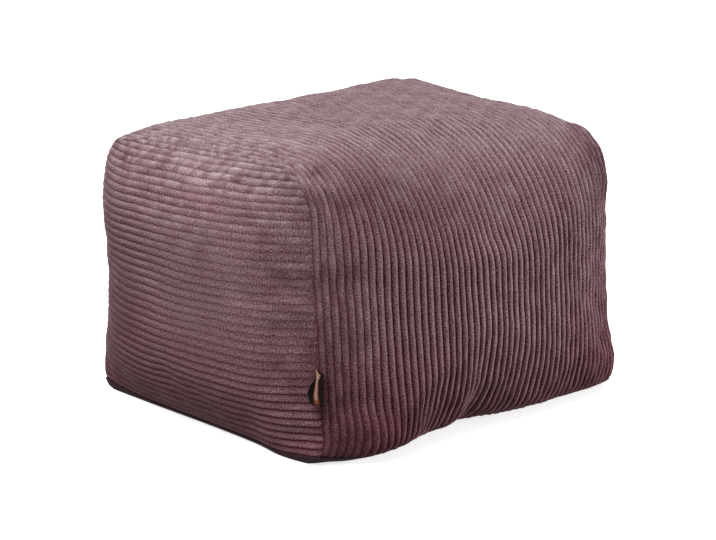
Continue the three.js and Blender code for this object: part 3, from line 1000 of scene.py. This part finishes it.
def readPile(tree):
    # all that the look of a place on the pile depends on
    pile = SimpleNamespace()
    pile.rib, pile.along, _ = axesOf(clothPlace(tree))
    pile.fromEnd, pile.fromSeam, _ = axesOf(clothPlace(tree, "edges"))
    pile.place = addNode(tree, "TexCoord", {}).outputs["Object"]
    pile.x, pile.y, pile.height = axesOf(pile.place)
    pile.phase = maths("FRACT", pile.rib)
    pile.number = maths("FLOOR", pile.rib)
    pile.onSide = maths("GREATER_THAN", pile.rib, corduroy["wrapNumbersTo"])
    pile.lowDown = pile.height.falling(*region["low"])
    pile.onTop = pile.height.rising(*region["top"])
    pile.highWrap = pile.height.hump(**region["highWrap"])
    pile.handled = pile.fromSeam.falling(*region["handledSeam"]) * pile.x.falling(*region["handledX"])
    flat = pile.y.falling(*rubbed["back"]) * pile.height.rising(*rubbed["foot"])
    flat = flat * pile.height.falling(*rubbed["top"])
    pile.flat = flat.atLeast(pile.height.rising(*region["crown"]))
    return pile


def ribNoise(pile, along, perRib, perMetre, detail=1):
    # noise that changes from rib to rib and runs on along each
    return noiseAt(vectorOf(pile.number * perRib, along * perMetre), 1, detail)


def waleProfile(pile, seamLine):
    # height of the wale, with its round nose and the seams beside it
    crest = pile.phase * 2 - 1
    width = 1 + corduroy["noseBlunt"] - crest * crest
    short = (1 - pile.fromEnd / corduroy["endRound"]).atLeast(0)
    nose = maths("SQRT", (1 - short * short / width).atLeast(0))
    return (pile.phase * math.pi).sine() * nose * seamLine


def wrapValleyShade(pile, profile, reach=0.9, handledLess=0.5, highLess=0.36):
    # share of the dark ground between the wales, the ground weave's colour with a painted shade in the
    # valleys, up to a reach on their flanks
    return profile.falling(0, reach - (pile.handled * handledLess).atLeast(pile.highWrap * highLess))


def sideValleyShade(pile, seamLine, above=0.86, aboveLow=0.12, below=(0.03, 0.15), belowLow=0.1):
    # it begins higher on a rib and ends lower on the next one low down
    start = pile.phase.rising(above - pile.lowDown * aboveLow, 1)
    stop = pile.phase.rising(below[0], below[1] + pile.lowDown * belowLow)
    return (start - stop + 1).atLeast(1 - seamLine)


def valleyShadeDepth(pile, wrap=0.98, handledLess=0.3, side=0.26, lowMore=0.62, flatLess=0.65, topLess=0.12):
    # this painted valley shade shows deep between the wales of the wrap panel and hardly between those of
    # the side panels
    sideDepth = (side + pile.lowDown * lowMore) * (1 - pile.flat * flatLess)
    depth = pile.onSide.blend(wrap - pile.handled * handledLess, sideDepth)
    return depth * (1 - pile.onTop * topLess)


def brushedAndSheenShare(pile, profile, streaks=0.45, edge=(0.47, 0.66), least=0.15, more=0.62, handledLess=0.45):
    # the pile lies the other way in patches that break up from rib to rib; their growing share higher up,
    # and the top and the wale crests, are a painted sheen
    patch = noiseAt(pile.place, scale=15, detail=3, roughness=0.55)
    streak = ribNoise(pile, pile.along, perRib=3.7, perMetre=34, detail=2)
    brushedAndSheen = (patch + (streak - 0.5) * streaks).rising(*edge)
    brushedAndSheen = brushedAndSheen * (least + pile.height.rising(*region["brushedAndSheen"]) * more)
    return (brushedAndSheen * (1 - pile.handled * handledLess)).atLeast(paintedSheenShare(pile, profile))


# painted sheen on the top and painted highlights on the crests of the wales
def paintedSheenShare(pile, profile, high=0.46, crestHighlight=0.2, crestHighlightEdge=(0.72, 1)):
    return pile.height.rising(*region["sheenOnTop"]) * high + profile.rising(*crestHighlightEdge) * crestHighlight


def flank(pile, rise, fall, mean):
    # one flank of each wale, whose edges are shares of the rib's width, less its mean
    return pile.phase.hump(rise, fall) - mean


def sideLean(pile, upper=0.55, least=0.55, more=0.6, flatLess=0.4, lower=0.24):
    # a painted highlight on one flank of the side panels' wales: the upper one, but the lower one low on
    # their near part
    upperFlankLit = pile.height.rising(*region["upperFlankLit"]).atLeast(pile.y.rising(*region["upperFlankLitY"]))
    patch = noiseAt(pile.place, scale=22, detail=2).rising(0.34, 0.62)
    upperFlankLit = upperFlankLit * (least + patch * more)
    turned = pile.y.falling(*region["turnedY"]) * pile.height.falling(*region["turned"])
    upperFlank = flank(pile, rise=(0.35, 0.75), fall=(0.84, 0.98), mean=0.36)
    lowerFlank = flank(pile, rise=(0.06, 0.18), fall=(0.22, 0.75), mean=0.4)
    return upperFlank * (upperFlankLit * upper) * (1 - pile.flat * flatLess) + lowerFlank * (turned * lower)


def wrapFlankHighlight(pile, right=0.42, highLess=0.28, handledLess=0.3):
    # and a painted highlight on the right flank of the wrap panel's wales
    rightFlank = pile.phase.rising(0.15, 0.8) - 0.5
    return rightFlank * right * (1 - (pile.highWrap * highLess + pile.handled * handledLess))


def smudges(pile, least=0.3, handledMore=0.75):
    # soft light and dark ones, most of them near the front seams
    mark = ribNoise(pile, pile.along, perRib=0.8, perMetre=52) - 0.5
    return 1 + mark * (least + pile.handled * handledMore)


def lowSeamShade(pile, darker=0.34):
    # painted shade low down on the wrap panel, beside its seams
    return 1 - pile.fromSeam.falling(*region["shadedSeam"]) * pile.lowDown * (1 - pile.onSide) * darker


# Large soft marks of painted shade and painted light, some where the pile lies another way: centre, reach
# each way, change of shade
paintedShadeAndLightMarks = [
    ((-0.14, -0.152, 0.25), (0.036, 0.05, 0.03), -0.32),
    ((-0.092, -0.172, 0.23), (0.045, 0.05, 0.032), -0.22),
    ((-0.04, -0.18, 0.215), (0.08, 0.05, 0.045), -0.13),
    ((-0.06, -0.15, 0.26), (0.07, 0.03, 0.022), -0.12),
    ((-0.135, -0.085, 0.266), (0.03, 0.03, 0.02), 0.12),
    ((-0.085, 0.112, 0.258), (0.05, 0.032, 0.02), 0.17),
    ((-0.178, -0.154, 0.25), (0.01, 0.012, 0.009), -0.22),
    ((-0.172, -0.163, 0.115), (0.022, 0.03, 0.075), -0.19),
    ((-0.19, -0.14, 0.092), (0.03, 0.03, 0.03), -0.15),
    ((-0.198, -0.105, 0.246), (0.03, 0.036, 0.02), -0.1),
    ((-0.212, 0.128, 0.085), (0.06, 0.066, 0.105), -0.46),
    ((-0.205, -0.025, 0.236), (0.035, 0.04, 0.02), 0.13),
    ((-0.15, 0.025, 0.262), (0.06, 0.065, 0.025), 0.15),
    ((-0.215, -0.09, 0.172), (0.03, 0.024, 0.032), 0.2),
    ((-0.19, -0.132, 0.02), (0.034, 0.05, 0.028), 0.44),
    ((-0.15, -0.178, 0.032), (0.034, 0.04, 0.034), -0.06),
    ((-0.095, -0.185, 0.03), (0.04, 0.05, 0.03), -0.16),
    ((-0.006, -0.196, 0.125), (0.036, 0.05, 0.065), 0.18),
    ((0.068, -0.19, 0.082), (0.07, 0.05, 0.056), 0.23),
    ((0.125, -0.18, 0.045), (0.04, 0.05, 0.03), 0.16),
    ((0.168, -0.152, 0.214), (0.026, 0.036, 0.036), -0.4),
    ((0.152, -0.168, 0.019), (0.03, 0.03, 0.02), 0.17),
    ((0.064, -0.19, 0.152), (0.03, 0.05, 0.034), 0.08),
    ((-0.155, -0.171, 0.155), (0.014, 0.02, 0.07), -0.11),
    ((-0.2, -0.124, 0.163), (0.02, 0.016, 0.013), -0.17),
    ((-0.222, 0.052, 0.106), (0.03, 0.034, 0.03), -0.13),
    ((-0.172, 0.102, 0.251), (0.02, 0.03, 0.013), 0.15),
    ((-0.058, 0.066, 0.266), (0.04, 0.028, 0.02), 0.11),
]


def paintedShadeAndLight(pile, edge=1.8):
    shade = 1
    for centre, reach, change in paintedShadeAndLightMarks:
        away = vectorMaths("DIVIDE", vectorMaths("SUBTRACT", pile.place, centre)[0], reach)[0]
        far = Number(vectorMaths("LENGTH", away)["Value"])
        shade = shade + far.falling(0, edge) * change
    return shade


def puckers(pile, paler=0.11, darker=0.33):
    # small gathers along the top seams: their share, and their shade, a painted shade in them with painted
    # light on the pile between them
    near = pile.fromSeam.falling(*region["puckeredSeam"]) * pile.height.rising(*region["puckered"])
    share = ribNoise(pile, pile.y, perRib=1.7, perMetre=88).rising(0.4, 0.6) * near
    return share, 1 + near * paler - share * darker


pileLook = {
    # the rim and foot colours are darker and redder than the pile: a painted shade low down
    "rim": (0.2, 0.062, 0.077, 1),
    "foot": (0.198, 0.077, 0.092, 1),
    "pile": (0.215, 0.11, 0.124, 1),
    # pale grey of brushed pile, which also paints the sheen
    "brushedAndSheen": (0.3, 0.231, 0.239, 1),
    # dark ground between the wales: the ground weave, darkened into a painted shade in the valleys
    "ground": (0.042, 0.003, 0.008, 1),
    "ribShade": 0.1,
    "fibreMm": {"perRib": 7.6, "acrossShare": 0.7},
    "grain": 1.65,
    "brushedSofter": 0.4, "darkest": 0.05,
    "reddening": (1.33, 1.25),
    "bump": (0.6, 0.0006), "puckerBump": 1.4,
    "topSeam": 0.75,
    "shader": {
        "Roughness": 0.9,
        "Sheen Weight": 0.11,
        "Sheen Roughness": 0.3,
        "Sheen Tint": (1.0, 0.82, 0.84, 1),
        "Specular IOR Level": 0.1,
    },
}


def pileColour(pile, brushedAndSheen):
    # darker and redder towards the foot, a painted shade; greyer where it is brushed and where sheen is
    # painted
    colour = blendColour(pile.height.rising(*region["rim"]), pileLook["rim"], pileLook["foot"])
    colour = blendColour(pile.height.rising(*region["foot"]), colour, pileLook["pile"])
    return blendColour(brushedAndSheen, colour, pileLook["brushedAndSheen"])


def pileFeeds(tree):
    pile = readPile(tree)
    seamLine = pile.fromSeam.rising(*region["seamLine"]).atLeast(pile.onTop * pileLook["topSeam"])
    profile = waleProfile(pile, seamLine)
    brushedAndSheen = brushedAndSheenShare(pile, profile)
    soft = 1 - brushedAndSheen * pileLook["brushedSofter"]
    across = pile.rib * pileLook["fibreMm"]["perRib"] * pileLook["fibreMm"]["acrossShare"]
    fibreShade, fibreHeight = fibres(vectorOf(across, pile.along * 1000), soft * pileLook["grain"])
    perRib = addNode(tree, "TexWhiteNoise", {"W": pile.number}, noise_dimensions="1D").outputs["Value"]
    ribShade = 1 - pileLook["ribShade"] / 2 + Number(perRib) * pileLook["ribShade"]
    # lean is the painted highlight on one flank of each wale
    lean = pile.onSide.blend(wrapFlankHighlight(pile), sideLean(pile))
    pucker, puckerShade = puckers(pile)
    shade = fibreShade * ribShade * (lean + 1) * smudges(pile) * lowSeamShade(pile) * paintedShadeAndLight(pile) * puckerShade
    shade = shade.atLeast(pileLook["darkest"])
    # the pile turns redder where it is darker
    green, blue = (shade ** power for power in pileLook["reddening"])
    colour = tinted(pileColour(pile, brushedAndSheen), shade, green, blue)
    # the dark valleys between the wales are the ground weave with a painted shade
    ground = pile.onSide.blend(wrapValleyShade(pile, profile), sideValleyShade(pile, seamLine))
    return {
        "Base Color": blendColour(ground * (valleyShadeDepth(pile) * soft), colour, pileLook["ground"]),
        "Normal": bumpNormal(fibreHeight - pucker * pileLook["puckerBump"], *pileLook["bump"]),
        **pileLook["shader"],
    }


baseLook = {
    "cloth": (0.026, 0.012, 0.014, 1),
    "thread": (0.056, 0.026, 0.031, 1),
    "threadsPerMm": 1.1, "threadEdge": (-0.5, 0.5),
    "grain": 0.2,
    "bump": (0.5, 0.0003),
    "shader": {"Roughness": 0.85, "Specular IOR Level": 0.15},
}


def baseFeeds(tree):
    placeMm = vectorMaths("MULTIPLY", clothPlace(tree), (1000, 1000, 0))[0]
    warp, weft, _ = axesOf(placeMm)
    turns = math.pi * baseLook["threadsPerMm"]
    weave = ((warp * turns).sine() * (weft * turns).sine()).rising(*baseLook["threadEdge"])
    shade, _ = fibres(placeMm, baseLook["grain"])
    colour = blendColour(weave, baseLook["cloth"], baseLook["thread"])
    return {
        "Base Color": tinted(colour, shade, shade, shade),
        "Normal": bumpNormal(weave, *baseLook["bump"]),
        **baseLook["shader"],
    }


# The tape's own coordinates run from 0 to 1: over the fold, which is at 0.5, and up
tapeLook = {
    "ground": (0.002, 0.001, 0.001, 1), "copperInShade": (0.06, 0.014, 0.004, 1),
    "copper": (0.3, 0.085, 0.035, 1),
    "paintedGlint": (0.62, 0.35, 0.24, 1),
    "stitch": (0.78, 0.6, 0.5, 1),
    "band": (0.12, 0.14),
    "darkening": (0.02, 0.13),
    "paintedGlintReach": (0, 0.055), "paintedGlintUp": (0.12, 0.5), "paintedGlintShare": 0.45,
    "stitches": 11, "slant": 9,
    "stitchEdge": (0, 0.6), "stitchReach": (0.055, 0.075), "stitchUp": (0.12, 0.16),
    "threads": 46, "threadShade": 0.08,
    "widthMm": 34, "grain": 0.2,
    "roughness": 0.75, "satinSmoother": 0.35, "specular": 0.05,
    "bump": (0.4, 0.0002),
}


def tapeFeeds(tree):
    # near-black tape with a copper satin band over the fold, darker at its edges as a painted shade and
    # pale along the fold as a painted highlight
    place = clothPlace(tree)
    over, up, _ = axesOf(place)
    fromFold = maths("ABSOLUTE", over - 0.5)
    band = fromFold.falling(*tapeLook["band"])
    paintedGlint = fromFold.falling(*tapeLook["paintedGlintReach"]) * up.rising(*tapeLook["paintedGlintUp"])
    darker = fromFold.rising(*tapeLook["darkening"])
    copper = blendColour(darker, tapeLook["copper"], tapeLook["copperInShade"])
    copper = blendColour(paintedGlint * tapeLook["paintedGlintShare"], copper, tapeLook["paintedGlint"])
    # one plain row of slanted pale stitches along the fold
    slanted = (up * tapeLook["stitches"] + over * tapeLook["slant"]) * (2 * math.pi)
    row = fromFold.falling(*tapeLook["stitchReach"]) * up.rising(*tapeLook["stitchUp"])
    stitch = slanted.sine().rising(*tapeLook["stitchEdge"]) * row
    copper = blendColour(stitch, copper, tapeLook["stitch"])
    threads = (up * (2 * math.pi * tapeLook["threads"])).sine()
    placeMm = vectorMaths("MULTIPLY", place, (tapeLook["widthMm"], tapeLook["widthMm"], 0))[0]
    fibreShade, _ = fibres(placeMm, tapeLook["grain"])
    shade = fibreShade * (1 - tapeLook["threadShade"] + threads * tapeLook["threadShade"])
    return {
        "Base Color": tinted(blendColour(band, tapeLook["ground"], copper), shade, shade, shade),
        "Normal": bumpNormal(threads, *tapeLook["bump"]),
        "Roughness": tapeLook["roughness"] - band * tapeLook["satinSmoother"],
        "Specular IOR Level": tapeLook["specular"],
    }


bag.data.materials.append(makeMaterial("corduroyPile", pileFeeds))
base.data.materials.append(makeMaterial("darkPlainWeave", baseFeeds))
tab.data.materials.append(makeMaterial("copperTape", tapeFeeds))
print("finishes are on")
